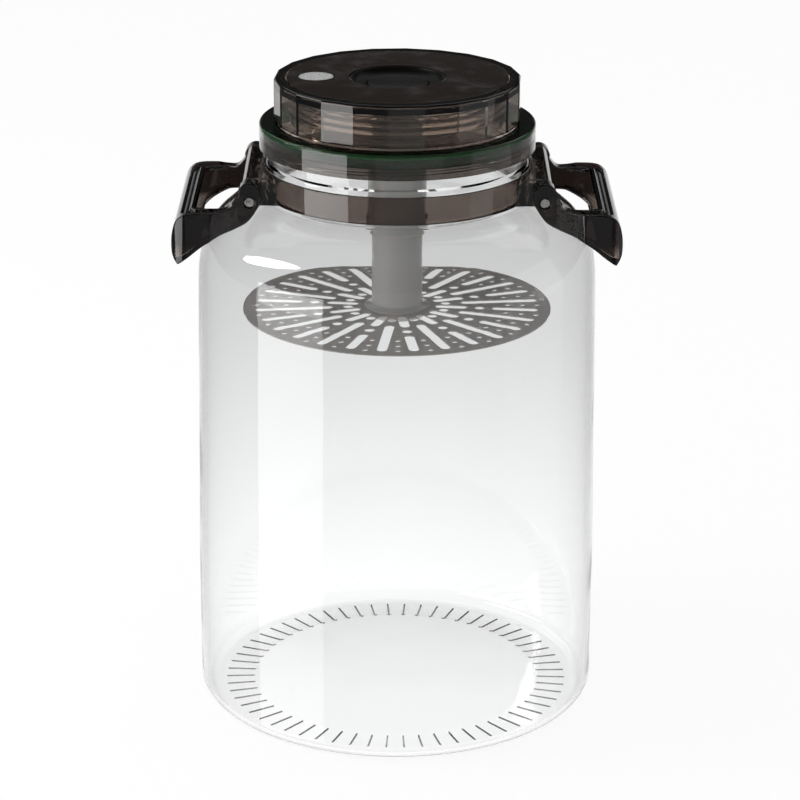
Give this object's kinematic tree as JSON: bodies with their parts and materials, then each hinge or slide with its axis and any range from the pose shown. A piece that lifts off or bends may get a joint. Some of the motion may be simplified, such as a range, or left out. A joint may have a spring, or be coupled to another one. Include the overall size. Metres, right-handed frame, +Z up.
{
  "type": "pickling jar",
  "caption": "Clear pickling jar with a smoked screw lid, a turning knob that lowers a perforated press plate, a vent button and two swing handles.",
  "frame": {"origin": "centre of the base, on the table", "axes": "+Z up along the jar's centre line, the handles at +X and -X, the pictured front towards -Y"},
  "size_m": [0.1862, 0.1728, 0.2746],
  "materials": {
    "clear_plastic": "clear and glossy",
    "smoked_plastic": "smoked, see-through and glossy",
    "dark_plastic": "near black, satin",
    "green_silicone": "green silicone, satin",
    "grey_plastic": "grey, slightly see-through",
    "plate_plastic": "grey, flexible, satin",
    "silver": "pale silver",
    "steel": "plain steel"
  },
  "bodies": {
    "jar": {"jar_body": "clear_plastic", "neck_ring": "smoked_plastic", "pin_left": "steel", "pin_right": "steel"},
    "handle_left": {"handle_left": "smoked_plastic"},
    "handle_right": {"handle_right": "smoked_plastic"},
    "seal": {"lid_seal": "green_silicone"},
    "lid": {"lid_shell": "smoked_plastic", "guide_sleeve": "grey_plastic", "sleeve_collar": "grey_plastic", "spindle_seal": "green_silicone"},
    "knob": {"knob_shell": "smoked_plastic", "knob_disc": "smoked_plastic", "badge_disc": "silver", "vent_cup": "dark_plastic", "spindle": "grey_plastic", "spindle_clip": "steel", "vent_spring": "steel"},
    "button": {"vent_button": "dark_plastic", "vent_valve": "green_silicone"},
    "press": {"press_tube": "grey_plastic", "tube_nut": "dark_plastic", "press_plate": "plate_plastic", "plate_clip": "grey_plastic"}
  },
  "joints": [
    {"name": "handle_left_swing", "type": "hinge", "parent": "jar", "child": "handle_left", "pos_m": [-0.06085, 0, 0.2292], "axis": [0, 1, 0], "range_deg": [0, 75]},
    {"name": "handle_right_swing", "type": "hinge", "parent": "jar", "child": "handle_right", "pos_m": [0.06085, 0, 0.2292], "axis": [0, -1, 0], "range_deg": [0, 75]},
    {"name": "lid_rise", "type": "slide", "parent": "jar", "child": "seal", "axis": [0, 0, 1], "range_m": [0, 0.0151]},
    {"name": "lid_turn", "type": "hinge", "parent": "seal", "child": "lid", "pos_m": [0, 0, 0.25], "axis": [0, 0, 1], "range_deg": [0, 1080]},
    {"name": "knob_turn", "type": "hinge", "parent": "lid", "child": "knob", "pos_m": [0, 0, 0.26], "axis": [0, 0, 1], "range_deg": [0, 1080]},
    {"name": "press_slide", "type": "slide", "parent": "lid", "child": "press", "axis": [0, 0, -1], "range_m": [0, 0.0361]},
    {"name": "button_press", "type": "slide", "parent": "knob", "child": "button", "axis": [0, 0, -1], "range_m": [0, 0.002], "stiffness_N_per_m": 400, "springref_m": -0.002, "deforming": ["vent_spring"]}
  ],
  "couplings": [
    {"joint": "lid_rise", "follows": "lid_turn", "m_per_rad": 0.00079577},
    {"joint": "press_slide", "follows": "knob_turn", "m_per_rad": 0.0019099}
  ]
}
